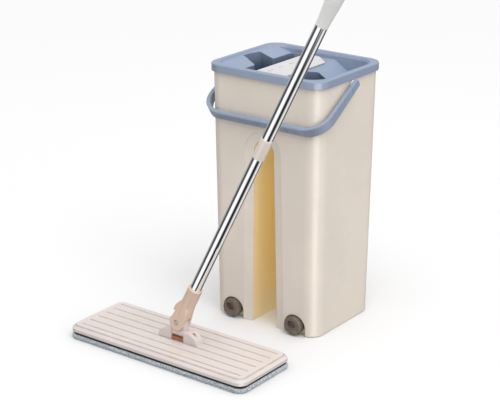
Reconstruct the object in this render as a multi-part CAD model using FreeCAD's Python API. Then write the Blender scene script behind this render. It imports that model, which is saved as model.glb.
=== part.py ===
import FreeCAD, Part
import math
import os

# Flat mop with a two-chamber bucket and a scraper wringer in its lid, in millimetres, +Z up.
#
# The bucket's front faces -Y and the two leg chambers stand left (-X) and right (+X). The mop
# stands on the floor in front of the bucket, its board parallel to the bucket's front and its
# pole leaning to the right. Shapes are drawn about the bucket's centre on the floor and moved,
# at the end, so that the origin is the bottom centre of the whole assembly's box.

V = FreeCAD.Vector
X_AXIS, Y_AXIS, Z_AXIS = V(1, 0, 0), V(0, 1, 0), V(0, 0, 1)
FAR = 150.0                       # a length that clears the bucket in any direction
OVERLAP = 3.0                     # how far a cutting shape runs past the surface it cuts
TINY = 0.01

# Bucket body: two sections of a tapering shell, with an arched gap between its legs.
BASE_W, BASE_D = 192.0, 156.0
TOP_W, TOP_D = 202.0, 166.0
BODY_TOP = 400.9
BODY_R = 22.0
WALL = 2.5
FOOT_CHAMFER = 2.0
FLOOR_T = 3.0
DRAFT = (TOP_D - BASE_D) / 2 / BODY_TOP      # outward lean of every side, per mm of height
GAP_BASE, GAP_TOP = 23.5, 18.5    # half-widths of the gap between the legs, floor and spring line
GAP_SPRING = 280.0                # height where the gap's arch begins
FRAME_W = 14.0                    # width of the shallow frame around the gap's mouth
FRAME_STEP, FRAME_DEPTH = 0.8, 3.2
INNER_CHAMFER = 14.0              # corner kept inside each leg behind that frame

# Drain recesses and plugs, one at the front foot of each leg.
DRAIN_X, DRAIN_Z = 58.5, 16.2
RECESS_HALF, RECESS_TOP, RECESS_DEPTH = 19.5, 32.5, 14.0
SPOUT_R, SPOUT_BORE, SPOUT_LEN = 10.0, 8.5, 6.0
PLUG_R, PLUG_BACK, PLUG_FRONT = 14.5, -72.5, -86.0
STEM_R, STEM_END = 7.4, -59.0
PLUG_ROUND = 1.6
POCKET = dict(left=-7.5, right=6.0, low=-3.0, high=8.5, radius=4.0, depth=5.0)
SOCKET_GAP, SOCKET_DEPTH = 0.3, 2.5
SEAL_Y, SEAL_W, SEAL_T = -68.0, 3.0, 2.95

# Bail handle.
PIVOT_Z = 386.0
ARM_IN, ARM_T = 106.0, 6.0
ARM_END = 5.0                     # how far the arms run on past their pivots
BAIL_LEN = 109.3                  # pivot to the outer face of the crossbar
BAIL_R = 37.0
ARM_W, BAR_W = 10.4, 15.0
BAIL_DROP = 32.8                  # degrees below level at rest, where the crossbar meets the bucket
BAR_ROUND, END_ROUND = 2.5, 1.5
BOSS_R, BOSS_ROOT, BOSS_X = 6.0, 98.8, 105.8
PIN_R, PIN_START, PIN_END = 2.5, 101.2, 110.5
FIT = 0.05                        # radial clearance of a pin in the part that turns on it
CLEAR = 0.2                       # space between faces that pass each other

# Lid.
LID_W, LID_D, RIM_Z = 209.0, 174.0, 404.0
LID_R = 25.0
SKIRT_Z = 392.4
SKIRT_T = 2.4
LID_T = 3.0
WELL_INSET, WELL_T = 7.8, 2.8     # ring wall that hangs inside the bucket
RIM_BEVEL_IN, RIM_BEVEL_DROP = 8.4, 4.0
MOUTH_R = 30.0                    # plan radius of the rim's inner edge
RIM_ROUND = 2.0
WELL_BOTTOM, MOUTH_BOTTOM = 346.0, 386.0
DECK_T = 2.7
DECK_LINE = [(-98.0, 401.5), (-86.0, 401.5), (-60.0, 393.4), (-29.0, 394.5), (21.0, 394.5),
             (69.0, 364.2), (98.0, 364.2)]
SLEEVE_T = 2.4
DRY_SLOT = dict(left=-60.0, right=-29.0, front=-76.4, back=75.0,
                bulge=[(-60.0, 27.0), (-85.0, 26.5), (-91.0, 3.0), (-91.0, -10.0), (-60.0, -20.5)])
WASH_SLOT = dict(left=69.0, right=93.9, front=-76.4, back=76.4,
                 bulge=[(69.0, 19.0), (31.0, 17.0), (23.0, -6.0), (23.0, -25.0), (69.0, -25.0)])
SLOT_R, SLOT_END_R = 3.0, 9.0
LEAST_R = 0.4

# Squeeze plate and scraper beside the dry slot.
PLATE_BOTTOM, PLATE_TOP = 394.5, 396.8
PLATE_OUTLINE = [(-31.0, -75.0), (22.5, -75.0), (22.5, 47.0), (-4.0, 71.0), (-31.0, 72.0)]
PLATE_CORNERS = [2.0, 2.0, 6.0, 12.0, 3.0]
PLATE_ROUND = 0.8
PLATE_MARKS = [-44.5, -17.5, 9.5]
MARK_X, MARK_W, MARK_L, MARK_DEEP = -14.0, 2.6, 14.0, 1.4
SCRAPER_HALF = 62.0
HOLDER_T, HOLDER_LOW, HOLDER_HIGH, HOLDER_ROUND = 4.0, 372.0, 390.0, 1.5
BLADE_REACH, BLADE_T, BLADE_ROOT_H, BLADE_DROP = 7.0, 1.6, 5.0, 5.0

# Mop head, about the board's centre on the floor.
MOP_X, MOP_Y = -45.0, -232.0
BOARD_L, BOARD_W, BOARD_R = 330.0, 120.0, 15.0
PAD_T, PAD_ROUND, HOOK_T = 7.6, 3.0, 4.4
HOOK_INSET = 2.2
BOARD_SIDE, BOARD_BEVEL, BOARD_TOP = 16.5, 6.0, 22.0
BOARD_SKIN = 2.6
GROOVES, GROOVE_PITCH, GROOVE_LEN, GROOVE_R, GROOVE_LIFT = 6, 17.8, 300.0, 1.5, 0.3
RIB_T = 2.2
RIB_Y = 32.0

# Bracket on the board, swivel block and knuckle.
BRACKET_X = 6.0                   # the bracket stands this far right of the board's middle
BRACKET_HALF_L, BRACKET_TOP, BRACKET_HALF_W = 36.0, 39.0, 8.0
FIN_SLOPE = [(0.0, 1.0), (6.0, 0.985), (12.0, 0.91), (18.0, 0.72), (22.0, 0.46), (24.5, 0.0)]
BRACKET_ROUND = 3.0               # on the fins' front and back top edges
SADDLE = 11.5                     # half-width of the gap between the two fins
ROLL_Z, TILT_Z = 35.0, 52.0
CUSHION_H, CUSHION_ROUND = 5.4, 1.2
PIN_IN_FIN = 3.6
BLOCK_HALF_L, BLOCK_R = 11.2, 7.4
TAB_HALF, TAB_R = 5.8, 11.0
FORK_GAP, FORK_HALF = 6.1, 10.4
EAR_R = 12.2
THROAT = 12.0                     # height above the tilt pin where the fork's slot ends
HUMP, HUMP_HALF = 16.2, 5.0       # how far the hump stands to the left, and half its width
HUMP_TOP, HUMP_SHOULDER = 37.0, 22.0
NECK_R, NECK_TOP = 16.0, 34.0     # the fork's cheeks taper from this radius into the socket
HINGE_R = 2.5
RIVET_R, RIVET_DEEP, RIVET_SINK_R = 3.5, 1.4, 4.1
SOCKET_R, SOCKET_END, SOCKET_RIM = 10.9, 66.0, 0.8
LEAN = 27.1                       # degrees the pole leans towards +X

# Pole, as distances along its own axis from the knuckle's pin.
TUBE_R, TUBE_T = 8.5, 0.9
TUBE_START = 40.0
COUPLING_START, COUPLING_END = 314.0, 348.0
COUPLING_R, COUPLING_ROUND, SPIGOT_LEN = 8.95, 0.4, 22.0
GRIP_START, GRIP_END = 535.0, 655.0
GRIP_RINGS = [(8.9, 0.0), (9.4, 12.0), (11.2, 34.0), (12.4, 58.0), (12.0, 82.0), (12.2, 104.0)]
TUBE_IN_GRIP = 80.0
CAP_R, CAP_LEN, CAP_ROUND = 12.2, 16.0, 6.0
HANG_R = 3.5


def corner_wire(points, radii, place):
    """Closed wire through 2-D points with each corner rounded; place turns (u, v) into a point."""
    ends = []
    count = len(points)
    for i, (point, radius) in enumerate(zip(points, radii)):
        here = V(point[0], point[1], 0)
        back = V(*points[i - 1], 0) - here
        ahead = V(*points[(i + 1) % count], 0) - here
        back.normalize()
        ahead.normalize()
        half = back.getAngle(ahead) / 2
        reach = radius / math.tan(half)
        middle = back + ahead
        middle.normalize()
        sink = radius / math.sin(half) - radius
        ends.append((here + back * reach, here + middle * sink, here + ahead * reach, radius))
    edges = []
    for i, (first, mid, last, radius) in enumerate(ends):
        if radius > 0:
            bend = Part.Arc(place(first.x, first.y), place(mid.x, mid.y), place(last.x, last.y))
            edges.append(bend.toShape())
        start = place(last.x, last.y)
        following = ends[(i + 1) % count][0]
        stop = place(following.x, following.y)
        if start.distanceToPoint(stop) > TINY:
            edges.append(Part.makeLine(start, stop))
    return Part.Wire(edges)


def flat(z):
    """Plan view at height z."""
    return lambda u, v: V(u, v, z)


def upright(y):
    """Front view in the plane at y."""
    return lambda u, v: V(u, y, v)


def sideways(x):
    """Side view in the plane at x."""
    return lambda u, v: V(x, u, v)


def rounded_rect(width, depth, radius, z):
    w, d = width / 2, depth / 2
    corners = [(-w, -d), (w, -d), (w, d), (-w, d)]
    return corner_wire(corners, [radius] * 4, flat(z))


def solid_of(wires):
    return Part.makeLoft(wires, True, True)


def plan_prism(wire, height):
    return Part.Face(wire).extrude(V(0, 0, height))


def front_prism(points, radii, y0, y1):
    """Front-view outline pushed from y0 to y1."""
    return Part.Face(corner_wire(points, radii, upright(y0))).extrude(V(0, y1 - y0, 0))


def side_prism(points, radii, x0, x1):
    """Side-view outline pushed from x0 to x1."""
    return Part.Face(corner_wire(points, radii, sideways(x0))).extrude(V(x1 - x0, 0, 0))


def rounded_rims(shape, height, radius):
    """Rounds the edges whose middle lies at height."""
    return shape.makeFillet(radius, [e for e in shape.Edges if abs(e.CenterOfMass.z - height) < TINY])


def arch_wire(half_base, half_spring, spring, place):
    """Arch outline: straight leaning sides from just under the floor to spring, then a half circle."""
    top = spring + half_spring
    crown = Part.Arc(place(half_spring, spring), place(0, top), place(-half_spring, spring))
    edges = [
        Part.makeLine(place(-half_base, -1), place(half_base, -1)),
        Part.makeLine(place(half_base, -1), place(half_spring, spring)),
        crown.toShape(),
        Part.makeLine(place(-half_spring, spring), place(-half_base, -1)),
    ]
    return Part.Wire(edges)


def arch_prism(half_base, half_spring, spring, y0, y1):
    return Part.Face(arch_wire(half_base, half_spring, spring, upright(y0))).extrude(V(0, y1 - y0, 0))


def mirrored_y(shape):
    return shape.mirror(V(0, 0, 0), Y_AXIS)


def mirrored_x(shape):
    return shape.mirror(V(0, 0, 0), X_AXIS)


def rod(radius, start, stop, axis):
    """Cylinder from start to stop, two points along axis."""
    return Part.makeCylinder(radius, (stop - start).Length, start, axis)


def front_face(depth):
    """Places front-view points on the leaning front face, sunk by depth."""
    return lambda u, v: V(u, -BASE_D / 2 - v * DRAFT + depth, v)


# ---------------------------------------------------------------- bucket

def bucket_outer():
    foot = rounded_rect(BASE_W - 2 * FOOT_CHAMFER, BASE_D - 2 * FOOT_CHAMFER, BODY_R - FOOT_CHAMFER, 0)
    low = rounded_rect(BASE_W, BASE_D, BODY_R, FOOT_CHAMFER)
    top = rounded_rect(TOP_W, TOP_D, BODY_R, BODY_TOP)
    return solid_of([foot, low, top])


def gap_funnel(flare, front, back, half_base, half_spring):
    """Arched funnel in the front wall: flare wider than the gap at depth front, level with it at back.

    It runs a little past the gap's own wall, so that the two shapes cross cleanly."""
    past = OVERLAP
    slope = (back - front) / flare
    return solid_of([
        arch_wire(half_base + flare, half_spring + flare, GAP_SPRING, front_face(front)),
        arch_wire(half_base - past, half_spring - past, GAP_SPRING, front_face(back + past * slope)),
    ])


def gap_frame():
    """The shallow stepped frame sunk around the front mouth of the gap between the legs."""
    step = solid_of([
        arch_wire(GAP_BASE + FRAME_W, GAP_TOP + FRAME_W, GAP_SPRING, front_face(-2 * OVERLAP)),
        arch_wire(GAP_BASE + FRAME_W, GAP_TOP + FRAME_W, GAP_SPRING, front_face(FRAME_STEP)),
    ])
    return step.fuse(gap_funnel(FRAME_W, FRAME_STEP, FRAME_DEPTH, GAP_BASE, GAP_TOP))


def gap_sleeve():
    """What the leg chambers must leave around the gap: a wall, and a corner behind the frame."""
    base, top = GAP_BASE + WALL, GAP_TOP + WALL
    core = arch_prism(base, top, GAP_SPRING, -FAR, FAR)
    flare = INNER_CHAMFER + 2 * OVERLAP
    corner = gap_funnel(flare, WALL - 2 * OVERLAP, WALL + INNER_CHAMFER, base, top)
    return core.fuse([corner, mirrored_y(corner)])


def recess_prism(grow, depth, x):
    half = RECESS_HALF + grow
    spring = RECESS_TOP - RECESS_HALF
    shape = arch_prism(half, half, spring, -FAR, -BASE_D / 2 + depth)
    return shape.translated(V(x, 0, 0))


def chamber():
    """The hollow of the bucket: both legs and the open top."""
    low = rounded_rect(BASE_W - 2 * WALL, BASE_D - 2 * WALL, BODY_R - WALL, FLOOR_T)
    top = rounded_rect(TOP_W - 2 * WALL, TOP_D - 2 * WALL, BODY_R - WALL, BODY_TOP + 1)
    shape = solid_of([low, top]).cut(gap_sleeve())
    for x in (-DRAIN_X, DRAIN_X):
        shape = shape.cut(recess_prism(WALL, RECESS_DEPTH + WALL, x))
    return shape


def pivot_boss():
    """Right-hand boss for the handle's pin."""
    return rod(BOSS_R, V(BOSS_ROOT, 0, PIVOT_Z), V(BOSS_X, 0, PIVOT_Z), X_AXIS)


def bucket_body():
    shape = bucket_outer()
    shape = shape.fuse([pivot_boss(), mirrored_x(pivot_boss())])
    gap = arch_prism(GAP_BASE, GAP_TOP, GAP_SPRING, -FAR, FAR)
    shape = shape.cut([gap, gap_frame(), mirrored_y(gap_frame()), chamber()])
    for side in (-1, 1):
        wall_y = -BASE_D / 2 + RECESS_DEPTH
        shape = shape.cut(recess_prism(0, RECESS_DEPTH, side * DRAIN_X))
        spout = rod(SPOUT_R, V(side * DRAIN_X, wall_y - SPOUT_LEN, DRAIN_Z),
                    V(side * DRAIN_X, wall_y + 1, DRAIN_Z), Y_AXIS)
        bore = rod(SPOUT_BORE, V(side * DRAIN_X, -FAR, DRAIN_Z),
                   V(side * DRAIN_X, wall_y + WALL + 1, DRAIN_Z), Y_AXIS)
        pin_hole = rod(PIN_R, V(min(side * PIN_START, side * FAR), 0, PIVOT_Z),
                       V(max(side * PIN_START, side * FAR), 0, PIVOT_Z), X_AXIS)
        shape = shape.fuse(spout).cut([bore, pin_hole])
    return shape.removeSplitter()


def drain_plug(x):
    """Round plug with an off-centre finger pocket, a socket over the spout and a stem inside it."""
    head = rod(PLUG_R, V(x, PLUG_FRONT, DRAIN_Z), V(x, PLUG_BACK, DRAIN_Z), Y_AXIS)
    rims = [e for e in head.Edges if abs(e.CenterOfMass.y - PLUG_FRONT) < TINY]
    head = head.makeFillet(PLUG_ROUND, rims)
    left, right = x + POCKET["left"], x + POCKET["right"]
    low, high = DRAIN_Z + POCKET["low"], DRAIN_Z + POCKET["high"]
    corners = [(left, low), (right, low), (right, high), (left, high)]
    pocket = front_prism(corners, [POCKET["radius"]] * 4, PLUG_FRONT - 1, PLUG_FRONT + POCKET["depth"])
    spout_socket = rod(SPOUT_R + SOCKET_GAP, V(x, PLUG_BACK - SOCKET_DEPTH, DRAIN_Z),
                       V(x, PLUG_BACK + 1, DRAIN_Z), Y_AXIS)
    stem = rod(STEM_R, V(x, PLUG_BACK - SOCKET_DEPTH - 1, DRAIN_Z), V(x, STEM_END, DRAIN_Z), Y_AXIS)
    return head.cut([pocket, spout_socket]).fuse(stem).cut(seal_ring(x)).removeSplitter()


def seal_ring(x):
    """Ring in a groove of the plug's stem, against the spout's bore."""
    outer = rod(SPOUT_BORE - FIT, V(x, SEAL_Y, DRAIN_Z), V(x, SEAL_Y + SEAL_W, DRAIN_Z), Y_AXIS)
    inner = rod(SPOUT_BORE - SEAL_T, V(x, SEAL_Y - 1, DRAIN_Z), V(x, SEAL_Y + SEAL_W + 1, DRAIN_Z), Y_AXIS)
    return outer.cut(inner)


# ---------------------------------------------------------------- handle

def bail_blank(half, length, radius):
    """Deep slab with a U-shaped front end, about the pivot's axis."""
    corners = [(-half, -length), (half, -length), (half, FAR), (-half, FAR)]
    return plan_prism(corner_wire(corners, [radius, radius, 0, 0], flat(-BAR_W)), 2 * BAR_W)


def bail():
    """U-shaped carrying handle: two arms that widen towards a crossbar, which rests on the bucket."""
    loop = bail_blank(ARM_IN + ARM_T, BAIL_LEN, BAIL_R)
    loop = loop.cut(bail_blank(ARM_IN, BAIL_LEN - ARM_T, BAIL_R - ARM_T))
    arm, bar = ARM_W / 2, BAR_W / 2
    outline = [(-BAIL_LEN, -bar), (ARM_END, -arm), (ARM_END, arm), (-BAIL_LEN, bar)]
    side = side_prism(outline, [BAR_ROUND, END_ROUND, END_ROUND, BAR_ROUND], -FAR, FAR)
    half = PIN_END + CLEAR
    hole = rod(PIN_R + FIT, V(-half, 0, 0), V(half, 0, 0), X_AXIS)
    shape = loop.common(side).cut(hole)
    shape.translate(V(0, 0, PIVOT_Z))
    shape.rotate(V(0, 0, PIVOT_Z), X_AXIS, BAIL_DROP)
    return shape.removeSplitter()


def pivot_pin(side):
    """Pin pressed into the boss; the handle's arm turns on its end, in a blind hole."""
    pin = rod(PIN_R, V(PIN_START, 0, PIVOT_Z), V(PIN_END, 0, PIVOT_Z), X_AXIS)
    return pin if side > 0 else mirrored_x(pin)


# ---------------------------------------------------------------- lid

def slot_wire(slot, z):
    """Board slot with the pole's bulge on its left side, in plan."""
    left, right, front, back = slot["left"], slot["right"], slot["front"], slot["back"]
    points = [(right, front), (right, back), (left, back)] + slot["bulge"] + [(left, front)]
    radii = [SLOT_R, SLOT_END_R, SLOT_END_R] + [SLOT_R] * (len(slot["bulge"]) + 1)
    return corner_wire(points, radii, flat(z))


def deck_profile(drop):
    """Band under the deck line, down by drop, or down to the well's bottom when drop is None."""
    top = DECK_LINE
    if drop is None:
        low = [(top[-1][0], WELL_BOTTOM), (top[0][0], WELL_BOTTOM)]
    else:
        low = [(x, z - drop) for x, z in reversed(top)]
    points = top + low
    return front_prism(points, [0] * len(points), -FAR, FAR)


def mouth_wire(inset, z):
    """Outline of the lid's well and of the rim's inner edge, rounder than the rim outside."""
    return rounded_rect(LID_W - 2 * inset, LID_D - 2 * inset, MOUTH_R + RIM_BEVEL_IN - inset, z)


def well_prism(inset, z, height):
    return plan_prism(mouth_wire(inset, z), height)


def lid_rim():
    """Flat rim with a skirt outside the bucket's edge and a ring wall just inside it."""
    rim = plan_prism(rounded_rect(LID_W, LID_D, LID_R, SKIRT_Z), RIM_Z - SKIRT_Z)
    rim = rounded_rims(rim, RIM_Z, RIM_ROUND)
    under = RIM_Z - LID_T
    hollow = rounded_rect(LID_W - 2 * SKIRT_T, LID_D - 2 * SKIRT_T, LID_R - SKIRT_T, SKIRT_Z - 1)
    rim = rim.cut(plan_prism(hollow, under - SKIRT_Z + 1))
    inset = WELL_INSET + WELL_T
    depth = under - WELL_BOTTOM + 1
    ring = well_prism(WELL_INSET, WELL_BOTTOM, depth).cut(well_prism(inset, WELL_BOTTOM - 1, depth + 2))
    mouth = solid_of([
        mouth_wire(inset, MOUTH_BOTTOM),
        mouth_wire(inset, RIM_Z - RIM_BEVEL_DROP),
        mouth_wire(RIM_BEVEL_IN, RIM_Z + TINY),
    ])
    return rim.fuse(ring).cut(mouth)


def lid():
    """Rim, skirt and well around a sloping deck, with a sleeved slot over each chamber."""
    full = RIM_Z - WELL_BOTTOM + 2
    slots = (DRY_SLOT, WASH_SLOT)
    sleeves = [plan_prism(slot_wire(slot, WELL_BOTTOM).makeOffset2D(SLEEVE_T), full) for slot in slots]
    openings = [plan_prism(slot_wire(slot, WELL_BOTTOM - 1), full) for slot in slots]
    walls = sleeves[0].fuse(sleeves[1]).common(deck_profile(None))
    deck = deck_profile(DECK_T).fuse(walls).cut(openings)
    deck = deck.common(well_prism(WELL_INSET + CLEAR, WELL_BOTTOM, full))
    return lid_rim().fuse(deck).removeSplitter()


def squeeze_plate():
    """Flat plate over the gap between the two slots, with three short marks."""
    wire = corner_wire(PLATE_OUTLINE, PLATE_CORNERS, flat(PLATE_BOTTOM))
    plate = rounded_rims(plan_prism(wire, PLATE_TOP - PLATE_BOTTOM), PLATE_TOP, PLATE_ROUND)
    mark = plan_prism(rounded_rect(MARK_W, MARK_L, MARK_W / 2 - TINY, PLATE_TOP - MARK_DEEP), OVERLAP)
    return plate.cut([mark.translated(V(MARK_X, y, 0)) for y in PLATE_MARKS])


def scraper_holder():
    """Bar on the dry slot's right wall that carries the blade."""
    x1 = DRY_SLOT["right"]
    x0 = x1 - HOLDER_T
    points = [(x0, HOLDER_LOW + HOLDER_T), (x1, HOLDER_LOW), (x1, HOLDER_HIGH), (x0, HOLDER_HIGH)]
    return front_prism(points, [0, 0, 0, HOLDER_ROUND], -SCRAPER_HALF, SCRAPER_HALF)


def scraper_blade():
    """Flexible lip that points down into the dry slot and strips water from the pad."""
    root = DRY_SLOT["right"] - HOLDER_T
    high = HOLDER_HIGH - BLADE_DROP
    tip = high - BLADE_ROOT_H - BLADE_REACH
    points = [(root, high), (root, high - BLADE_ROOT_H), (root - BLADE_REACH, tip),
              (root - BLADE_REACH, tip + BLADE_T)]
    return front_prism(points, [0, 0, LEAST_R, LEAST_R], -SCRAPER_HALF, SCRAPER_HALF)


# ---------------------------------------------------------------- mop head

def at_mop(shape):
    return shape.translated(V(MOP_X, MOP_Y, 0))


def at_hinge(shape):
    return at_mop(shape.translated(V(BRACKET_X, 0, 0)))


def mop_pad():
    pad = plan_prism(rounded_rect(BOARD_L, BOARD_W, BOARD_R, 0), PAD_T)
    return at_mop(rounded_rims(pad, 0, PAD_ROUND))


def hook_layer():
    inset = HOOK_INSET
    wire = rounded_rect(BOARD_L - 2 * inset, BOARD_W - 2 * inset, BOARD_R - inset, PAD_T)
    return at_mop(plan_prism(wire, HOOK_T))


def bracket_flank(side):
    """Smooth round back of one fin, from the saddle out to the board; side is +1 or -1."""
    rise = BRACKET_TOP - BOARD_TOP
    curve = Part.BSplineCurve()
    curve.interpolate([V(side * (SADDLE + out), 0, BOARD_TOP + share * rise) for out, share in FIN_SLOPE])
    return curve.toShape()


def bracket():
    """Both fins as one hump, before the saddle is cut, its front and back top edges rounded."""
    half, low = BRACKET_HALF_L, BOARD_TOP - OVERLAP
    edges = [
        bracket_flank(1),
        Part.makeLine(V(half, 0, BOARD_TOP), V(half, 0, low)),
        Part.makeLine(V(half, 0, low), V(-half, 0, low)),
        Part.makeLine(V(-half, 0, low), V(-half, 0, BOARD_TOP)),
        bracket_flank(-1),
        Part.makeLine(V(-SADDLE, 0, BRACKET_TOP), V(SADDLE, 0, BRACKET_TOP)),
    ]
    bell = Part.Face(Part.Wire(edges)).extrude(V(0, 2 * BRACKET_HALF_W, 0))
    bell.translate(V(0, -BRACKET_HALF_W, 0))
    wide, top, past = BRACKET_HALF_W, BRACKET_TOP + CLEAR, half + OVERLAP
    outline = [(-wide, low - OVERLAP), (wide, low - OVERLAP), (wide, top), (-wide, top)]
    return bell.common(side_prism(outline, [0, 0, BRACKET_ROUND, BRACKET_ROUND], -past, past))


def board_blank(grow, low, top):
    """Board outline with a bevelled top edge, shrunk by -grow, from low to top."""
    length, width, radius = BOARD_L + 2 * grow, BOARD_W + 2 * grow, BOARD_R + grow
    bevel = BOARD_BEVEL
    return solid_of([
        rounded_rect(length, width, radius, low),
        rounded_rect(length, width, radius, BOARD_SIDE + grow),
        rounded_rect(length - 2 * bevel, width - 2 * bevel, radius - bevel, top),
    ])


def board_hollow():
    """The space under the board's skin, between its three long ribs and the bracket's core."""
    hollow = board_blank(-BOARD_SKIN, PAD_T + HOOK_T - 1, BOARD_TOP - BOARD_SKIN)
    rib = Part.makeBox(BOARD_L, RIB_T, BOARD_TOP, V(-BOARD_L / 2, -RIB_T / 2, 0))
    ribs = [rib.translated(V(0, y, 0)) for y in (-RIB_Y, 0, RIB_Y)]
    half_l, half_w = BRACKET_HALF_L, BRACKET_HALF_W
    core = Part.makeBox(2 * half_l, 2 * half_w, BOARD_TOP, V(BRACKET_X - half_l, -half_w, 0))
    return hollow.cut(ribs + [core])


def board_groove(y):
    half, z = GROOVE_LEN / 2, BOARD_TOP + GROOVE_LIFT
    groove = rod(GROOVE_R, V(-half, y, z), V(half, y, z), X_AXIS)
    return groove.fuse([Part.makeSphere(GROOVE_R, V(end, y, z)) for end in (-half, half)])


def mop_board():
    """Ribbed shell with long grooves on top and the bracket's two fins in the middle."""
    shape = board_blank(0, PAD_T + HOOK_T, BOARD_TOP).cut(board_hollow())
    shape = shape.cut([board_groove((i - (GROOVES - 1) / 2) * GROOVE_PITCH) for i in range(GROOVES)])
    saddle = Part.makeBox(2 * SADDLE, 2 * FAR, FAR, V(BRACKET_X - SADDLE, -FAR, BOARD_TOP))
    hole = rod(HINGE_R, V(-FAR, 0, ROLL_Z), V(FAR, 0, ROLL_Z), X_AXIS)
    fins = bracket().translated(V(BRACKET_X, 0, 0))
    return at_mop(shape.fuse(fins).cut([saddle, hole]).removeSplitter())


def roll_pin():
    """Pin through both fins, along the board; the swivel block turns on it."""
    half = SADDLE + PIN_IN_FIN
    return at_hinge(rod(HINGE_R, V(-half, 0, ROLL_Z), V(half, 0, ROLL_Z), X_AXIS))


def saddle_cushion():
    """Soft strip on the saddle's floor under the swivel block, its front and back edges rounded."""
    half, top = SADDLE - CLEAR, BOARD_TOP + CUSHION_H
    wide = BRACKET_HALF_W
    outline = [(-wide, BOARD_TOP), (wide, BOARD_TOP), (wide, top), (-wide, top)]
    return at_hinge(side_prism(outline, [0, 0, CUSHION_ROUND, CUSHION_ROUND], -half, half))


def swivel_block():
    """Barrel on the roll pin with an upright tab for the knuckle's pin."""
    barrel = rod(BLOCK_R, V(-BLOCK_HALF_L, 0, ROLL_Z), V(BLOCK_HALF_L, 0, ROLL_Z), X_AXIS)
    stem = Part.makeBox(2 * TAB_R, 2 * TAB_HALF, TILT_Z - ROLL_Z, V(-TAB_R, -TAB_HALF, ROLL_Z))
    head = rod(TAB_R, V(0, -TAB_HALF, TILT_Z), V(0, TAB_HALF, TILT_Z), Y_AXIS)
    shape = barrel.fuse([stem, head])
    cross = rod(HINGE_R + FIT, V(-FAR, 0, ROLL_Z), V(FAR, 0, ROLL_Z), X_AXIS)
    along = rod(HINGE_R + FIT, V(0, -FAR, TILT_Z), V(0, FAR, TILT_Z), Y_AXIS)
    return at_hinge(shape.cut([cross, along]).removeSplitter())


def leaning(shape):
    """Turns a shape drawn upright about the knuckle's pin into the pole's lean."""
    shape = shape.copy()
    shape.rotate(V(0, 0, TILT_Z), Y_AXIS, LEAN)
    return at_hinge(shape)


def knuckle_cheeks():
    """The fork's flat-sided cheeks, round below the pin and tapering upwards into the socket."""
    z = TILT_Z
    ears = rod(EAR_R, V(0, -FORK_HALF, z), V(0, FORK_HALF, z), Y_AXIS)
    block = Part.makeBox(2 * SOCKET_R, 2 * FORK_HALF, NECK_TOP, V(-SOCKET_R, -FORK_HALF, z))
    neck = Part.makeCone(NECK_R, SOCKET_R - CLEAR, NECK_TOP + CLEAR, V(0, 0, z), Z_AXIS)
    return ears.fuse(block.common(neck))


def knuckle_hump():
    """Narrow rounded hump that stands out on the knuckle's left side."""
    z = TILT_Z
    outline = [(0, z - OVERLAP), (-HUMP, z), (-HUMP, z + HUMP_SHOULDER), (-SOCKET_R + 1, z + HUMP_TOP),
               (0, z + HUMP_TOP)]
    return front_prism(outline, [0, 9.0, 12.0, 4.0, 0], -HUMP_HALF, HUMP_HALF)


def knuckle():
    """Fork on the tilt pin, with a hump on its left, running up into the pole's socket."""
    z = TILT_Z
    top = z + SOCKET_END
    socket = rounded_rims(rod(SOCKET_R, V(0, 0, z + THROAT), V(0, 0, top), Z_AXIS), top, SOCKET_RIM)
    slot = Part.makeBox(2 * FAR, 2 * FORK_GAP, THROAT + FAR, V(-FAR, -FORK_GAP, z - FAR))
    bore = rod(TUBE_R, V(0, 0, z + TUBE_START), V(0, 0, top + 1), Z_AXIS)
    hole = rod(HINGE_R, V(0, -FAR, z), V(0, FAR, z), Y_AXIS)
    sink = rod(RIVET_SINK_R, V(0, -FORK_HALF - 1, z), V(0, -FORK_HALF + RIVET_DEEP, z), Y_AXIS)
    shape = knuckle_cheeks().fuse([knuckle_hump(), socket]).cut([slot, bore, hole, sink, mirrored_y(sink)])
    return leaning(shape.removeSplitter())


def tilt_pin():
    """Rivet through the fork and the swivel block's tab."""
    inner, outer = FORK_HALF - RIVET_DEEP, FORK_HALF - CLEAR
    shank = rod(HINGE_R, V(0, -inner, TILT_Z), V(0, inner, TILT_Z), Y_AXIS)
    head = rod(RIVET_R, V(0, inner, TILT_Z), V(0, outer, TILT_Z), Y_AXIS)
    return leaning(shank.fuse([head, mirrored_y(head)]).removeSplitter())


# ---------------------------------------------------------------- pole

def pipe(start, stop):
    low, high = V(0, 0, TILT_Z + start), V(0, 0, TILT_Z + stop)
    return leaning(rod(TUBE_R, low, high, Z_AXIS).cut(rod(TUBE_R - TUBE_T, low, high, Z_AXIS)))


def tube_lower():
    return pipe(TUBE_START, COUPLING_START)


def tube_upper():
    return pipe(COUPLING_END, GRIP_START + TUBE_IN_GRIP)


def coupling():
    """Sleeve between the two tubes with a spigot pressed into each."""
    low, high = TILT_Z + COUPLING_START, TILT_Z + COUPLING_END
    sleeve = rod(COUPLING_R, V(0, 0, low), V(0, 0, high), Z_AXIS)
    for end in (low, high):
        sleeve = rounded_rims(sleeve, end, COUPLING_ROUND)
    spigot = rod(TUBE_R - TUBE_T, V(0, 0, low - SPIGOT_LEN), V(0, 0, high + SPIGOT_LEN), Z_AXIS)
    return leaning(sleeve.fuse(spigot).removeSplitter())


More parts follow.
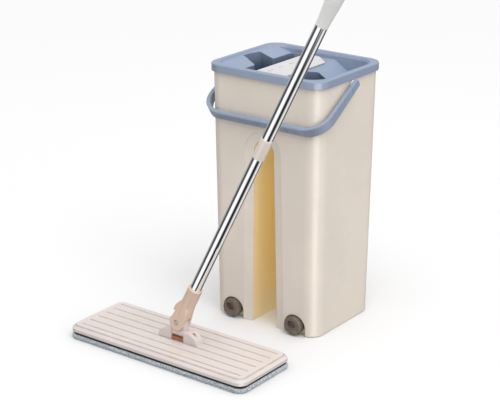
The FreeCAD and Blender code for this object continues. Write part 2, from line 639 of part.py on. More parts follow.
def grip():
    """Soft grip, waisted, drawn as a turned profile over the end of the upper tube."""
    curve = Part.BSplineCurve()
    curve.interpolate([V(radius, 0, along) for radius, along in GRIP_RINGS])
    (first, start), (last, length) = GRIP_RINGS[0], GRIP_RINGS[-1]
    edges = [
        curve.toShape(),
        Part.makeLine(V(last, 0, length), V(0, 0, length)),
        Part.makeLine(V(0, 0, length), V(0, 0, start)),
        Part.makeLine(V(0, 0, start), V(first, 0, start)),
    ]
    body = Part.Face(Part.Wire(edges)).revolve(V(0, 0, 0), Z_AXIS, 360)
    body.translate(V(0, 0, TILT_Z + GRIP_START))
    low = TILT_Z + GRIP_START
    bore = rod(TUBE_R, V(0, 0, low - 1), V(0, 0, low + TUBE_IN_GRIP), Z_AXIS)
    return leaning(body.cut(bore))


def grip_cap():
    """Domed end of the grip with a cross hole for hanging."""
    top = TILT_Z + GRIP_END
    cap = rod(CAP_R, V(0, 0, top - CAP_LEN), V(0, 0, top), Z_AXIS)
    middle = top - CAP_LEN / 2 - 1
    hole = rod(HANG_R, V(0, -FAR, middle), V(0, FAR, middle), Y_AXIS)
    return leaning(rounded_rims(cap, top, CAP_ROUND).cut(hole))


def build():
    parts = {
        "bucket_body": bucket_body(),
        "handle": bail(),
        "lid": lid(),
        "squeeze_plate": squeeze_plate(),
        "scraper_holder": scraper_holder(),
        "scraper_blade": scraper_blade(),
        "mop_pad": mop_pad(),
        "hook_layer": hook_layer(),
        "mop_board": mop_board(),
        "roll_pin": roll_pin(),
        "saddle_cushion": saddle_cushion(),
        "swivel_block": swivel_block(),
        "tilt_pin": tilt_pin(),
        "knuckle": knuckle(),
        "tube_lower": tube_lower(),
        "coupling": coupling(),
        "tube_upper": tube_upper(),
        "grip": grip(),
        "grip_cap": grip_cap(),
    }
    for side, name in ((-1, "left"), (1, "right")):
        parts["drain_plug_" + name] = drain_plug(side * DRAIN_X)
        parts["drain_seal_" + name] = seal_ring(side * DRAIN_X)
        parts["handle_pin_" + name] = pivot_pin(side)
    return parts


parts = build()
whole = FreeCAD.BoundBox()
for shape in parts.values():
    whole.add(shape.optimalBoundingBox())
shift = V(-whole.Center.x, -whole.Center.y, 0)
os.makedirs("parts", exist_ok=True)
for name, shape in parts.items():
    shape.translated(shift).exportStep(os.path.join("parts", name + ".step"))
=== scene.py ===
import math
import random

import bmesh
import bpy
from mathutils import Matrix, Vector, noise


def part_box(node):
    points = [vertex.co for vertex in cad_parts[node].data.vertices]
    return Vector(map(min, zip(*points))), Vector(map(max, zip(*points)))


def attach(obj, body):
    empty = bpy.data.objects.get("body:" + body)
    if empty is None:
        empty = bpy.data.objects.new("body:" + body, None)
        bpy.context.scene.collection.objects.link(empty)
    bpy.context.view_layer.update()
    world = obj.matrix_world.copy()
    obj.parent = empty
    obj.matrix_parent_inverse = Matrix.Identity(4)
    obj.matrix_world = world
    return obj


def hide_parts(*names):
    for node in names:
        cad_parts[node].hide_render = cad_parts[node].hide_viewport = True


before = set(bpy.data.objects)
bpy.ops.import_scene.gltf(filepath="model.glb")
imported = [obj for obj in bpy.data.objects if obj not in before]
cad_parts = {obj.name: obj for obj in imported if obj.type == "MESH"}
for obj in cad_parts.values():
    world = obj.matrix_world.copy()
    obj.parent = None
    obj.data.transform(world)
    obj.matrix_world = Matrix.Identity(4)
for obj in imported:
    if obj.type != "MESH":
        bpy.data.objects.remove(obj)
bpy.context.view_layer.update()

# Looks for a flat mop and its two-chamber bucket, in metres, +Z up, in the frame's own axes.

MM = 0.001

# Camera: turned round to the bucket's right front and above, with a long lens.
AIM = Vector((-0.0081, -0.0383, 0.2285))
AZIMUTH, ELEVATION, DISTANCE = 36.915, 19.365, 2.2
LENS, FULL_FRAME = 108.5, 36.0
SHIFT_UP = -0.0014

# Colours, linear.
CREAM = (0.80, 0.72, 0.635)
CREAM_WARM = (0.76, 0.65, 0.53)
# Painted light: warm glow and shade tint for the walls inside the gap.
OCHRE_GLOW = (0.90, 0.66, 0.22)
# Painted shade for the drain arches.
OLIVE_SHADE = (0.60, 0.52, 0.14)
BLUE = (0.275, 0.335, 0.455)
# Painted shade for the lid's slot walls.
BLUE_SLOT_SHADE = (0.07, 0.10, 0.165)
WHITE_WARM = (0.64, 0.62, 0.63)
BOARD_CREAM = (0.67, 0.60, 0.57)
BEIGE = (0.72, 0.535, 0.42)
# Painted warm shade, carried by the saddle cushion.
ORANGE_SHADE = (0.36, 0.14, 0.055)
COUPLING_CREAM = (0.86, 0.76, 0.675)
GRIP_GREY = (0.86, 0.87, 0.84)
PLUG_GREY = (0.15, 0.115, 0.09)
SEAL_BLACK = (0.02, 0.02, 0.02)
SCRAPER_GREY = (0.22, 0.23, 0.25)
STEEL = (0.56, 0.55, 0.53)
CHROME = (0.86, 0.87, 0.88)
PAD_LIGHT, PAD_MID, PAD_DARK = (0.66, 0.72, 0.75), (0.38, 0.43, 0.46), (0.13, 0.16, 0.19)
HOOK_BLACK = (0.012, 0.011, 0.012)
FLOOR_PALE = (0.755, 0.755, 0.76)
# Grey for the board's grooves, where it lies as painted shade, and for the plate's sunk marks.
SUNK_GREY = (0.40, 0.36, 0.33)

FLOOR_HALF = 9.0                  # half the floor's side

# Light.
POLE_LEAN = 27.1                  # degrees towards +X
SKY_LEVEL, SKY_RISE, SKY_RIGHT, SKY_LEAST = 0.62, 0.52, 0.08, 0.42
KEY_FROM, KEY_STRENGTH, KEY_ANGLE = Vector((0.44, -0.26, 0.86)), 1.2, 50.0
# A bright patch that only upright rounded corners mirror towards the front right.
SPOT_TOWARDS = Vector((0.753, -0.568, -0.332))
SPOT_INNER, SPOT_OUTER, SPOT_LEVEL = 12.0, 32.0, 6.0
# name, where it stands, what it lights, side lengths, watts
PANELS = [
    ("top_panel", (0.15, -0.35, 2.1), (-0.02, 0.02, 0.2), 1.6, 4.0),
    ("right_panel", (2.2, -0.4, 1.1), (0.0, 0.0, 0.25), 1.2, 6.0),
]

# The parts' own measures that their materials follow.
BODY_LOW, BODY_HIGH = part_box("bucket_body")
BUCKET_X = (BODY_LOW.x + BODY_HIGH.x) / 2
BUCKET_Y = (BODY_LOW.y + BODY_HIGH.y) / 2
FOOT_FRONT = 78 * MM              # half the foot's depth
SIDE_LEAN = 5 / 400.9             # outward lean of the bucket's sides
GAP_FOOT, GAP_SPRING_HALF, GAP_SPRING = 23.5 * MM, 18.5 * MM, 280 * MM
GAP_TAPER = (GAP_FOOT - GAP_SPRING_HALF) / GAP_SPRING
# Painted glow: the gap's walls give off a little light of their own.
GLOW = 0.10                       # emission inside the gap
ARCH_HEIGHT, ARCH_FROM, ARCH_TO = 45 * MM, 30 * MM, 82 * MM
DECK_HIGH, SLOT_LOW = 402 * MM, 372 * MM
BOARD_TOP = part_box("hook_layer")[1].z + 10 * MM
PLATE_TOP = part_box("squeeze_plate")[1].z
SLOTS_LEFT, SLOTS_RIGHT, SLOTS_HALF = -92.5 * MM, 68 * MM, 74 * MM


# ---------------------------------------------------------------- shader building

class Nodes:
    """An empty node tree, with short calls that add a node and join it."""

    def __init__(self, owner):
        owner.use_nodes = True
        self.tree = owner.node_tree
        self.tree.nodes.clear()

    def put(self, socket, value):
        if isinstance(value, bpy.types.NodeSocket):
            self.tree.links.new(value, socket)
        elif socket.type == "RGBA" and len(value) == 3:
            socket.default_value = (*value, 1)
        else:
            socket.default_value = value

    def add(self, kind, settings=None, **inputs):
        made = self.tree.nodes.new(kind)
        for key, value in (settings or {}).items():
            setattr(made, key, value)
        for key, value in inputs.items():
            self.put(made.inputs[key.replace("_", " ")], value)
        return made

    def math(self, operation, *values):
        made = self.add("ShaderNodeMath", {"operation": operation})
        for socket, value in zip(made.inputs, values):
            self.put(socket, value)
        return made.outputs[0]

    def dot(self, first, second):
        made = self.add("ShaderNodeVectorMath", {"operation": "DOT_PRODUCT"})
        self.put(made.inputs[0], first)
        self.put(made.inputs[1], second)
        return made.outputs["Value"]

    def spread(self, value, low, high, to_low=0.0, to_high=1.0):
        """Maps value from low..high smoothly onto to_low..to_high."""
        made = self.add("ShaderNodeMapRange", {"interpolation_type": "SMOOTHSTEP"}, Value=value)
        for socket, number in zip(list(made.inputs)[1:5], (low, high, to_low, to_high)):
            self.put(socket, number)
        return made.outputs[0]

    def mix(self, share, first, second, blend="MIX"):
        made = self.add("ShaderNodeMix", {"data_type": "RGBA", "blend_type": blend})
        self.put(made.inputs[0], share)
        self.put(made.inputs[6], first)
        self.put(made.inputs[7], second)
        return made.outputs[2]


class Shader(Nodes):
    """One material: its surface, and the textures that lie on the object."""

    def __init__(self, name):
        self.material = bpy.data.materials.new(name)
        super().__init__(self.material)
        self.surface = self.tree.nodes.new("ShaderNodeBsdfPrincipled")
        self.add("ShaderNodeOutputMaterial", Surface=self.surface.outputs["BSDF"])
        self.place = self.add("ShaderNodeTexCoord").outputs["Object"]

    def set(self, **inputs):
        """Values or sockets straight on the surface's own inputs."""
        for key, value in inputs.items():
            self.put(self.surface.inputs[key.replace("_", " ")], value)

    def noise(self, scale, detail=3.0, rough=0.55, where=None):
        made = self.add("ShaderNodeTexNoise", Vector=where or self.place, Scale=scale, Detail=detail,
                        Roughness=rough)
        return made.outputs[0]

    def bump(self, height, distance, strength=1.0, normal=None):
        made = self.add("ShaderNodeBump", Height=height, Distance=distance, Strength=strength)
        if normal is not None:
            self.put(made.inputs["Normal"], normal)
        return made.outputs[0]

    def soft_edges(self, radius):
        return self.add("ShaderNodeBevel", {"samples": 6}, Radius=radius).outputs[0]

    def edge_mask(self, rounded):
        """1 along a sharp edge and 0 on a flat face, from how far the rounded normal leaves the true one."""
        plain = self.add("ShaderNodeNewGeometry").outputs["Normal"]
        return self.spread(self.dot(rounded, plain), 0.995, 0.90)

    def axes(self, where=None):
        return self.add("ShaderNodeSeparateXYZ", Vector=where or self.place).outputs


def tinted(colour, factor):
    """The colour made lighter or darker by a factor."""
    return tuple(min(1.0, c * factor) for c in colour)


def give(material, *nodes):
    """The material on every slot of the named nodes."""
    for name in nodes:
        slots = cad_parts[name].material_slots
        for slot in slots:
            slot.material = material
        if not slots:
            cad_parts[name].data.materials.append(material)


# ---------------------------------------------------------------- plastics

def moulded(name, colour, roughness, grain=1.0, edge=0.6 * MM, paint=None, sheen=0.0, gloss=0.0):
    """Injection-moulded plastic: fine spark grain, faint flow clouds, handling marks, soft edges lightened
    partly by wear and partly as a painted highlight.
    """
    s = Shader(name)
    clouds = s.noise(9.0, 4.0)
    flow = s.noise(38.0, 5.0, 0.6)
    base = s.mix(s.spread(clouds, 0.35, 0.65), tinted(colour, 0.965), tinted(colour, 1.025))
    base = s.mix(s.spread(flow, 0.55, 0.75, 0.0, 0.35), base, tinted(colour, 0.93))
    if paint:
        base = paint(s, base)
    rounded = s.soft_edges(edge)
    edge_wear_and_highlight = s.math("MULTIPLY", s.edge_mask(rounded), s.spread(s.noise(160.0, 4.0), 0.35, 0.6, 0.25, 1.0))
    # Lighter edges: partly wear, partly painted highlight.
    base = s.mix(s.math("MULTIPLY", edge_wear_and_highlight, 0.35), base, tinted(colour, 1.22))
    spark = s.noise(2600.0, 2.0, 0.6)
    pits = s.add("ShaderNodeTexVoronoi", {"feature": "F1"}, Vector=s.place, Scale=1500.0).outputs["Distance"]
    texture = s.math("ADD", spark, s.math("MULTIPLY", pits, 0.5))
    base = s.mix(s.spread(texture, 0.5, 1.1, 0.0, 0.10 * grain), base, tinted(colour, 0.82))
    scuffs = s.noise(70.0, 6.0, 0.7, where=stretched(s, (1.0, 1.0, 0.15)))
    s.set(
        Base_Color=base,
        Roughness=s.math("ADD", s.spread(scuffs, 0.4, 0.7, roughness - 0.05, roughness + 0.09),
                         s.math("MULTIPLY", edge_wear_and_highlight, -0.06)),
        Normal=s.bump(texture, 0.035 * MM * grain, 1.0, rounded),
        IOR=1.5,
        Coat_Weight=gloss,
        Coat_Roughness=0.16,
        Sheen_Weight=sheen,
    )
    return s.material


def stretched(s, scale, turn=0.0):
    """Texture place scaled along the axes, so that a small scale draws the texture out into lines."""
    return s.add("ShaderNodeMapping", Vector=s.place, Scale=scale, Rotation=(0, turn, 0)).outputs[0]


def body_paint(s, base):
    """Painted light on the bucket: a warm painted glow and shade tint inside the gap, painted olive shade in
    the drain arches; warm scuffs and water marks in patches at the foot, and a little evener higher up.
    """
    x, y, z = s.axes()[:3]
    across = s.math("ABSOLUTE", s.math("SUBTRACT", x, BUCKET_X))
    wall = s.math("SUBTRACT", GAP_FOOT + 0.5 * MM, s.math("MULTIPLY", z, GAP_TAPER))
    in_gap = s.spread(s.math("SUBTRACT", wall, across), 0.0, 0.8 * MM)
    crown = GAP_SPRING + GAP_SPRING_HALF
    below = s.spread(z, crown + 4 * MM, crown + 2 * MM)
    front = s.math("SUBTRACT", s.math("ADD", s.math("SUBTRACT", y, BUCKET_Y), FOOT_FRONT),
                   s.math("MULTIPLY", z, -SIDE_LEAN))
    deep = s.spread(front, 2.4 * MM, 9 * MM)
    # Painted light: inside the gap the wall turns ochre and emits a little, a painted warm glow over painted
    # shade.
    glow = s.math("MULTIPLY", s.math("MULTIPLY", in_gap, below), deep)
    height = s.spread(z, 0.02, 0.26)
    warm = s.mix(height, OCHRE_GLOW, tinted(OCHRE_GLOW, 1.18))
    base = s.mix(s.math("MULTIPLY", glow, 0.9), base, warm)
    s.set(Emission_Color=warm, Emission_Strength=s.math("MULTIPLY", glow, GLOW))
    low = s.spread(z, ARCH_HEIGHT, 24 * MM)
    sunk = s.math("MULTIPLY", s.spread(front, 1.2 * MM, 4 * MM), s.spread(front, 20 * MM, 16 * MM))
    beside = s.math("MULTIPLY", s.spread(across, ARCH_FROM, ARCH_FROM + 4 * MM),
                    s.spread(across, ARCH_TO, ARCH_TO - 2 * MM))
    arch = s.math("MULTIPLY", s.math("MULTIPLY", low, sunk), beside)
    # Painted shade: the sunk drain arches darken towards olive.
    base = s.mix(s.math("MULTIPLY", arch, 0.8), base, OLIVE_SHADE)
    foot = s.math("MULTIPLY", s.spread(z, 0.10, 0.0), s.spread(s.noise(14.0, 5.0), 0.35, 0.7, 0.15, 1.0))
    base = s.mix(s.math("MULTIPLY", foot, 0.25), base, CREAM_WARM)
    upper = s.spread(z, 0.15, 0.36)
    return s.mix(s.math("MULTIPLY", upper, 0.35), base, tinted(CREAM, 0.97))


def board_paint(s, base):
    """Painted shade in the grooves, uneven in patches."""
    z = s.axes()[2]
    groove = s.spread(z, BOARD_TOP - 0.05 * MM, BOARD_TOP - 0.5 * MM)
    patch = s.spread(s.noise(60.0, 4.0), 0.3, 0.7, 0.55, 0.95)
    near_top = s.spread(z, BOARD_TOP - 2.2 * MM, BOARD_TOP - 1.6 * MM)
    share = s.math("MULTIPLY", s.math("MULTIPLY", groove, near_top), patch)
    return s.mix(share, base, SUNK_GREY)


def lid_paint(s, base):
    """Painted shade: the slots' own upright walls are darker than the open deck, more so further down."""
    x, y, z = s.axes()[:3]
    faces = s.axes(where=s.add("ShaderNodeNewGeometry").outputs["Normal"])
    upright = s.spread(s.math("ABSOLUTE", faces[2]), 0.4, 0.2)
    across = s.math("SUBTRACT", x, BUCKET_X)
    along = s.math("ABSOLUTE", s.math("SUBTRACT", y, BUCKET_Y))
    within = s.math("MULTIPLY", s.spread(across, SLOTS_LEFT, SLOTS_LEFT + MM),
                    s.spread(across, SLOTS_RIGHT, SLOTS_RIGHT - MM))
    within = s.math("MULTIPLY", within, s.spread(along, SLOTS_HALF + MM, SLOTS_HALF))
    deep = s.spread(z, DECK_HIGH, SLOT_LOW, 0.45, 1.0)
    return s.mix(s.math("MULTIPLY", s.math("MULTIPLY", within, upright), deep), base, BLUE_SLOT_SHADE)


def plate_paint(s, base):
    """The plate's sunk marks are darker."""
    z = s.axes()[2]
    sunk = s.spread(z, PLATE_TOP - 0.9 * MM, PLATE_TOP - 1.2 * MM)
    return s.mix(s.math("MULTIPLY", sunk, 0.5), base, SUNK_GREY)


def rubber(name, colour, roughness=0.62):
    """Moulded rubber with bloom, edges and creases lightened partly by dust and wear and partly as a painted
    highlight, and a fine matte skin.
    """
    s = Shader(name)
    bloom = s.spread(s.noise(210.0, 5.0, 0.65), 0.4, 0.7)
    base = s.mix(bloom, tinted(colour, 0.85), tinted(colour, 1.25))
    rounded = s.soft_edges(0.5 * MM)
    # Edges and creases lighter: partly dust and wear, partly painted highlight.
    base = s.mix(s.math("MULTIPLY", s.edge_mask(rounded), 0.4), base, tinted(colour, 1.7))
    skin = s.noise(1800.0, 3.0, 0.7)
    dull = s.spread(s.noise(90.0, 4.0), 0.35, 0.7, roughness - 0.12, roughness + 0.1)
    s.set(Base_Color=base, Roughness=dull, Normal=s.bump(skin, 0.05 * MM, 1.0, rounded), IOR=1.52)
    return s.material


# ---------------------------------------------------------------- metals

def chrome_tube():
    """Polished chrome on a drawn tube: hair-fine draw lines along its length and a few dull smudges."""
    s = Shader("chrome_tube")
    turn = -math.radians(POLE_LEAN)
    lines = s.noise(900.0, 3.0, 0.6, where=stretched(s, (1.0, 1.0, 0.02), turn))
    smudge = s.spread(s.noise(28.0, 5.0, 0.6), 0.52, 0.72)
    s.set(
        Base_Color=s.mix(s.math("MULTIPLY", smudge, 0.5), CHROME, tinted(CHROME, 0.93)),
        Metallic=1.0,
        Roughness=s.math("ADD", s.spread(lines, 0.3, 0.7, 0.02, 0.045), s.math("MULTIPLY", smudge, 0.03)),
        Normal=s.bump(lines, 0.004 * MM),
    )
    return s.material


def steel_pin():
    s = Shader("steel_pin")
    turned = s.noise(700.0, 4.0, 0.6, where=stretched(s, (1.0, 0.2, 1.0)))
    rounded = s.soft_edges(0.3 * MM)
    s.set(Base_Color=s.mix(s.spread(turned, 0.35, 0.7), tinted(STEEL, 0.72), STEEL), Metallic=1.0,
          Roughness=s.spread(turned, 0.3, 0.7, 0.24, 0.42), Normal=s.bump(turned, 0.02 * MM, 1.0, rounded))
    return s.material


# ---------------------------------------------------------------- fabrics

def microfibre():
    """Split-fibre pile: blue-grey with lighter tips and darker roots, no gloss, a soft sheen."""
    s = Shader("microfibre")
    tips = s.noise(1500.0, 3.0, 0.7)
    clumps = s.add("ShaderNodeTexVoronoi", {"feature": "SMOOTH_F1"}, Vector=s.place, Scale=420.0)
    patches = s.noise(70.0, 4.0, 0.6)
    base = s.mix(s.spread(clumps.outputs["Distance"], 0.15, 0.6), PAD_LIGHT, PAD_MID)
    base = s.mix(s.spread(tips, 0.52, 0.7, 0.0, 0.75), base, PAD_DARK)
    base = s.mix(s.spread(patches, 0.55, 0.75, 0.0, 0.5), base, PAD_MID)
    nap = s.math("ADD", tips, s.math("MULTIPLY", clumps.outputs["Distance"], 1.5))
    s.set(Base_Color=base, Roughness=0.95, Normal=s.bump(nap, 0.35 * MM), Sheen_Weight=0.35,
          Sheen_Roughness=0.5)
    return s.material


def hook_fabric():
    """Black hook-and-loop layer: a close weave of short loops."""
    s = Shader("hook_fabric")
    x, y, z = s.axes()[:3]
    pitch = 2 * math.pi / (1.3 * MM)
    warp = s.math("SINE", s.math("MULTIPLY", s.math("ADD", x, y), pitch))
    weft = s.math("SINE", s.math("MULTIPLY", z, pitch))
    weave = s.math("MULTIPLY", warp, weft)
    lint = s.spread(s.noise(520.0, 4.0, 0.7), 0.62, 0.72, 0.0, 0.5)
    s.set(Base_Color=s.mix(lint, HOOK_BLACK, tinted(HOOK_BLACK, 5.0)), Roughness=0.92,
          Normal=s.bump(s.math("ADD", weave, s.noise(1400.0)), 0.15 * MM), Sheen_Weight=0.15)
    return s.material


# ---------------------------------------------------------------- mop pad

PAD_LOW, PAD_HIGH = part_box("mop_pad")
PAD_CORNER = 15 * MM
RING_STEP = 0.9 * MM
CAP_RINGS = 9                     # rings that fill each flat face
TUFTS = 5200
TUFT_LENGTH, TUFT_WIDTH = (1.0, 2.1), (0.16, 0.30)
TUFT_CORNERS = [(math.cos(a), math.sin(a)) for a in (0.0, 2 * math.pi / 3, 4 * math.pi / 3)]
# (distance in from the pad's edge, height as a share of its thickness), from the top round to the underside
PAD_SECTION = [(14.0, 0.99), (7.0, 0.99), (3.2, 0.985), (1.6, 0.95), (0.7, 0.86), (0.2, 0.72), (0.0, 0.56),
               (0.1, 0.40), (0.5, 0.26), (1.3, 0.13), (2.6, 0.05), (5.0, 0.02), (14.0, 0.01)]


def pad_outline(inset):
    """Points and outward directions round the pad's outline, moved in by inset; always as many of them."""
    half = (PAD_HIGH - PAD_LOW) / 2
    middle = (PAD_HIGH + PAD_LOW) / 2
    corner = Vector((half.x - PAD_CORNER, half.y - PAD_CORNER))
    radius = max(PAD_CORNER - inset, 0.5 * MM)
    core = corner + Vector((PAD_CORNER, PAD_CORNER)) - Vector((inset + radius, inset + radius))
    centres = [(core.x, -core.y, -90), (core.x, core.y, 0), (-core.x, core.y, 90), (-core.x, -core.y, 180)]
    sides = (2 * core.y, 2 * core.x) * 2
    outer_sides = (2 * corner.y, 2 * corner.x) * 2
    arc_steps = round(PAD_CORNER * math.pi / 2 / RING_STEP)
    points = []
    for (cx, cy, start), side, outer_side in zip(centres, sides, outer_sides):
        centre = Vector((middle.x + cx, middle.y + cy, 0))
        for i in range(arc_steps):
            angle = math.radians(start + 90 * i / arc_steps)
            out = Vector((math.cos(angle), math.sin(angle), 0))
            points.append((centre + out * radius, out))
        angle = math.radians(start + 90)
        out = Vector((math.cos(angle), math.sin(angle), 0))
        along = Vector((-out.y, out.x, 0))
        first = centre + out * radius
        steps = round(outer_side / RING_STEP)
        points += [(first + along * (side * i / steps), out) for i in range(steps)]
    return points


def nap(point):
    """Height of the pile at a point, from broad waves down to single clumps, about -1 to 1."""
    broad = noise.noise(point * 45.0)
    clump = noise.noise(point * 260.0)
    strand = noise.noise(point * 900.0)
    return 0.35 * broad + 0.45 * clump + 0.35 * strand


def pad_point(flat, out, share, inset):
    thick = PAD_HIGH.z - PAD_LOW.z
    point = Vector((flat.x, flat.y, PAD_LOW.z + share * thick))
    side = 1.0 - min(1.0, inset / 4.0)
    push = nap(point) * side * 0.9 * MM
    point += out * push
    if share < 0.5:
        rows = 0.5 + 0.5 * math.sin(flat.x * 2 * math.pi / (5.5 * MM) + 1.5 * noise.noise(point * 60.0))
        point.z += (1 - side) * (0.9 * rows + 0.5 * abs(nap(point))) * MM
    return point


def grid_cap(bm, ring, share, top):
    """Fills a ring with smaller rings towards the middle line, so that the flat face has fine faces too."""
    half = (PAD_HIGH - PAD_LOW) / 2
    start = PAD_SECTION[-1][0]
    last = ring
    for k in range(1, CAP_RINGS + 1):
        inset = (start + (half.y / MM - start - 1.0) * k / CAP_RINGS) * MM
        rows = [bm.verts.new(pad_point(p, out, share, inset / MM)) for p, out in pad_outline(inset)]
        bridge(bm, last, rows, top)
        last = rows
    face = bm.faces.new(last if not top else list(reversed(last)))
    face.normal_update()


def bridge(bm, first, second, flip=False):
    count = len(first)
    for i in range(count):
        j = (i + 1) % count
        loop = [first[i], first[j], second[j], second[i]]
        bm.faces.new(loop if not flip else list(reversed(loop)))


def mop_pad():
    """The pad's body: a slab of pile, its side bulging and ragged, its underside in combed rows."""
    bm = bmesh.new()
    rings = []
    for inset, share in PAD_SECTION:
        rings.append([bm.verts.new(pad_point(p, out, share, inset)) for p, out in pad_outline(inset * MM)])
    for first, second in zip(rings, rings[1:]):
        bridge(bm, second, first)
    grid_cap(bm, rings[0], PAD_SECTION[0][1], False)
    grid_cap(bm, rings[-1], PAD_SECTION[-1][1], True)
    bmesh.ops.recalc_face_normals(bm, faces=bm.faces)
    return piece("mop_pad_pile", bm, "mop_head", microfibre())


def piece(name, bm, body, material, smooth=True):
    mesh = bpy.data.meshes.new(name)
    bm.to_mesh(mesh)
    bm.free()
    mesh.materials.append(material)
    if smooth:
        mesh.shade_smooth()
    made = bpy.data.objects.new(name, mesh)
    bpy.context.scene.collection.objects.link(made)
    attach(made, body)
    return made


def tuft(bm, root, out, rng):
    """One short curved strand: three sides, tapering, leaning out and a little down."""
    along = Vector((-out.y, out.x, 0))
    lean = Vector((0, 0, rng.uniform(-0.7, 0.25)))
    aim = (out + along * rng.uniform(-0.8, 0.8) + lean).normalized()
    curl = (along * rng.uniform(-0.6, 0.6) + Vector((0, 0, rng.uniform(-0.6, 0.2)))) * 0.5
    length = rng.uniform(*TUFT_LENGTH) * MM
    width = rng.uniform(*TUFT_WIDTH) * MM
    side = aim.cross(Vector((0, 0, 1))).normalized()
    up = side.cross(aim)
    rings = []
    for share, thick in ((0.0, 1.0), (0.55, 0.8), (1.0, 0.35)):
        centre = root + aim * (length * share) + curl * (length * share * share)
        centre.z = max(centre.z, PAD_LOW.z + 0.45 * MM)
        rings.append([bm.verts.new(centre + (side * c + up * s) * (width * thick)) for c, s in TUFT_CORNERS])
    for first, second in zip(rings, rings[1:]):
        bridge(bm, first, second)
    bm.faces.new(list(reversed(rings[0])))
    bm.faces.new(rings[-1])


def pad_tufts():
    """Loose strands that stand out of the pad's side all round."""
    rng = random.Random(7)
    outline = pad_outline(0.9 * MM)
    thick = PAD_HIGH.z - PAD_LOW.z
    bm = bmesh.new()
    for _ in range(TUFTS):
        at, out = outline[rng.randrange(len(outline))]
        share = rng.uniform(0.10, 0.88)
        root = at.copy()
        root.z = PAD_LOW.z + share * thick
        tuft(bm, root, out, rng)
    return piece("mop_pad_strands", bm, "mop_head", microfibre(), smooth=False)


# ---------------------------------------------------------------- scene

# Studio as the shiny parts see it: (angle round the pole's line in degrees, brightness). Dark gaps stand
# between wide soft panels, and 0 is the side that faces the camera.
STRIPS = [(-180, 0.35), (-128, 0.46), (-100, 0.08), (-70, 0.05), (-60, 0.85), (-46, 1.2),
          (-10, 1.2), (4, 0.25), (12, 0.03), (40, 0.02), (52, 0.28), (64, 0.85),
          (96, 0.95), (106, 0.10), (130, 0.04), (180, 0.35)]


def studio_world():
    """Soft sky, brighter above and to the right; mirrors see panels and gaps round the leaning pole."""
    world = bpy.data.worlds.new("studio")
    bpy.context.scene.world = world
    w = Nodes(world)
    way = w.add("ShaderNodeTexCoord").outputs["Generated"]
    lean = math.radians(POLE_LEAN)
    axis = Vector((math.sin(lean), 0, math.cos(lean)))
    back = view_back()
    facing = (back - axis * back.dot(axis)).normalized()
    angle = w.math("ARCTAN2", w.dot(way, axis.cross(facing)), w.dot(way, facing))
    share = w.add("ShaderNodeMapRange", Value=angle, From_Min=-math.pi, From_Max=math.pi).outputs[0]
    ramp = strips_ramp(w, share)
    sideways = w.math("MULTIPLY_ADD", w.dot(way, Vector((1, 0, 0))), SKY_RIGHT, SKY_LEVEL)
    sky = w.math("MULTIPLY_ADD", w.dot(way, Vector((0, 0, 1))), SKY_RISE, sideways)
    sky = w.math("MAXIMUM", sky, SKY_LEAST)
    near_spot = w.dot(way, SPOT_TOWARDS.normalized())
    spot = w.spread(near_spot, math.cos(math.radians(SPOT_OUTER)), math.cos(math.radians(SPOT_INNER)),
                    0.0, SPOT_LEVEL)
    shine = w.mix(1.0, ramp, spot, "ADD")
    mirrored = w.add("ShaderNodeLightPath").outputs["Is Glossy Ray"]
    light = w.add("ShaderNodeBackground", Color=w.mix(mirrored, sky, shine))
    w.add("ShaderNodeOutputWorld", Surface=light.outputs[0])


def strips_ramp(w, share):
    """The STRIPS as a colour ramp, read at a share of the full turn."""
    made = w.add("ShaderNodeValToRGB")
    w.put(made.inputs[0], share)
    stops = made.color_ramp.elements
    while len(stops) < len(STRIPS):
        stops.new(0.5)
    for stop, (degrees, level) in zip(stops, STRIPS):
        stop.position = (degrees + 180) / 360
        stop.color = (level, level, level * 1.01, 1)
    return made.outputs["Color"]


def view_back():
    """Direction from the object to the camera."""
    a, e = math.radians(AZIMUTH), math.radians(ELEVATION)
    return Vector((math.sin(a) * math.cos(e), -math.cos(a) * math.cos(e), math.sin(e)))


def panel(name, place, target, side, watts):
    lamp = bpy.data.lights.new(name, "AREA")
    lamp.shape = "SQUARE"
    lamp.size = side
    lamp.energy = watts
    made = bpy.data.objects.new(name, lamp)
    made.location = place
    made.rotation_euler = (Vector(place) - Vector(target)).to_track_quat("Z", "Y").to_euler()
    made.visible_glossy = False
    bpy.context.scene.collection.objects.link(made)


def key_light():
    """Wide soft key from above and to the right."""
    lamp = bpy.data.lights.new("key", "SUN")
    lamp.energy = KEY_STRENGTH
    lamp.angle = math.radians(KEY_ANGLE)
    made = bpy.data.objects.new("key", lamp)
    made.rotation_euler = KEY_FROM.to_track_quat("Z", "Y").to_euler()
    made.visible_glossy = False
    bpy.context.scene.collection.objects.link(made)


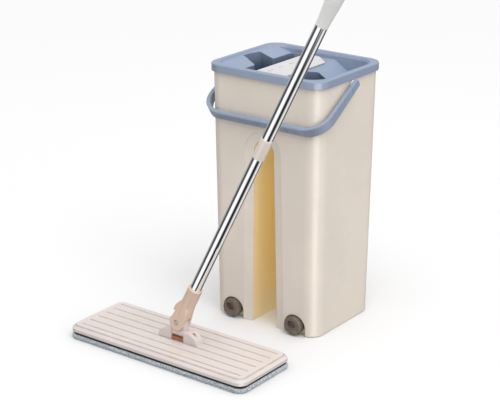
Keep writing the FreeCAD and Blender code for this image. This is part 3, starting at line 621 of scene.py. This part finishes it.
def floor():
    """Wide pale floor that takes shadows but sends no light back up."""
    bm = bmesh.new()
    bmesh.ops.create_grid(bm, x_segments=24, y_segments=24, size=FLOOR_HALF)
    mesh = bpy.data.meshes.new("studio_floor")
    bm.to_mesh(mesh)
    bm.free()
    s = Shader("pale_floor")
    s.set(Base_Color=s.mix(s.noise(2.0), FLOOR_PALE, tinted(FLOOR_PALE, 0.995)), Roughness=0.9)
    mesh.materials.append(s.material)
    made = bpy.data.objects.new("studio_floor", mesh)
    made.visible_glossy = False
    made.visible_diffuse = False
    bpy.context.scene.collection.objects.link(made)


def camera():
    data = bpy.data.cameras.new("camera")
    data.lens = LENS
    data.sensor_width = FULL_FRAME
    data.shift_y = SHIFT_UP
    made = bpy.data.objects.new("camera", data)
    back = view_back()
    made.location = AIM + back * DISTANCE
    made.rotation_euler = back.to_track_quat("Z", "Y").to_euler()
    bpy.context.scene.collection.objects.link(made)
    bpy.context.scene.camera = made


def dress():
    """A finished material for every part of the frame that stays in view."""
    give(moulded("body_plastic", CREAM, 0.38, paint=body_paint), "bucket_body")
    give(moulded("lid_plastic", BLUE, 0.34, paint=lid_paint, gloss=0.35), "lid")
    give(moulded("handle_plastic", BLUE, 0.32, edge=1.2 * MM, gloss=0.6), "handle", "handle_pin_left",
         "handle_pin_right")
    give(moulded("plate_plastic", WHITE_WARM, 0.34, paint=plate_paint), "squeeze_plate", "scraper_holder")
    give(moulded("board_plastic", BOARD_CREAM, 0.34, paint=board_paint, gloss=0.3), "mop_board",
         "swivel_block")
    give(moulded("knuckle_plastic", BEIGE, 0.36, gloss=0.2), "knuckle")
    give(moulded("coupling_plastic", COUPLING_CREAM, 0.30, gloss=0.8), "coupling")
    give(moulded("grip_plastic", GRIP_GREY, 0.5, grain=1.6, sheen=0.1), "grip", "grip_cap")
    give(rubber("plug_rubber", PLUG_GREY), "drain_plug_left", "drain_plug_right")
    give(rubber("seal_rubber", SEAL_BLACK, 0.5), "drain_seal_left", "drain_seal_right")
    give(rubber("scraper_rubber", SCRAPER_GREY), "scraper_blade")
    # The saddle cushion is a part of its own; its dark orange is painted warm shade for the gap under the
    # knuckle.
    give(rubber("cushion_rubber", ORANGE_SHADE, 0.55), "saddle_cushion")
    give(chrome_tube(), "tube_lower", "tube_upper")
    give(steel_pin(), "roll_pin", "tilt_pin")
    give(hook_fabric(), "hook_layer")


dress()
pad = mop_pad()
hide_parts("mop_pad")
pad_tufts()
studio_world()
for settings in PANELS:
    panel(*settings)
key_light()
floor()
camera()
view = bpy.context.scene.view_settings
view.view_transform = "Standard"
view.look = "None"
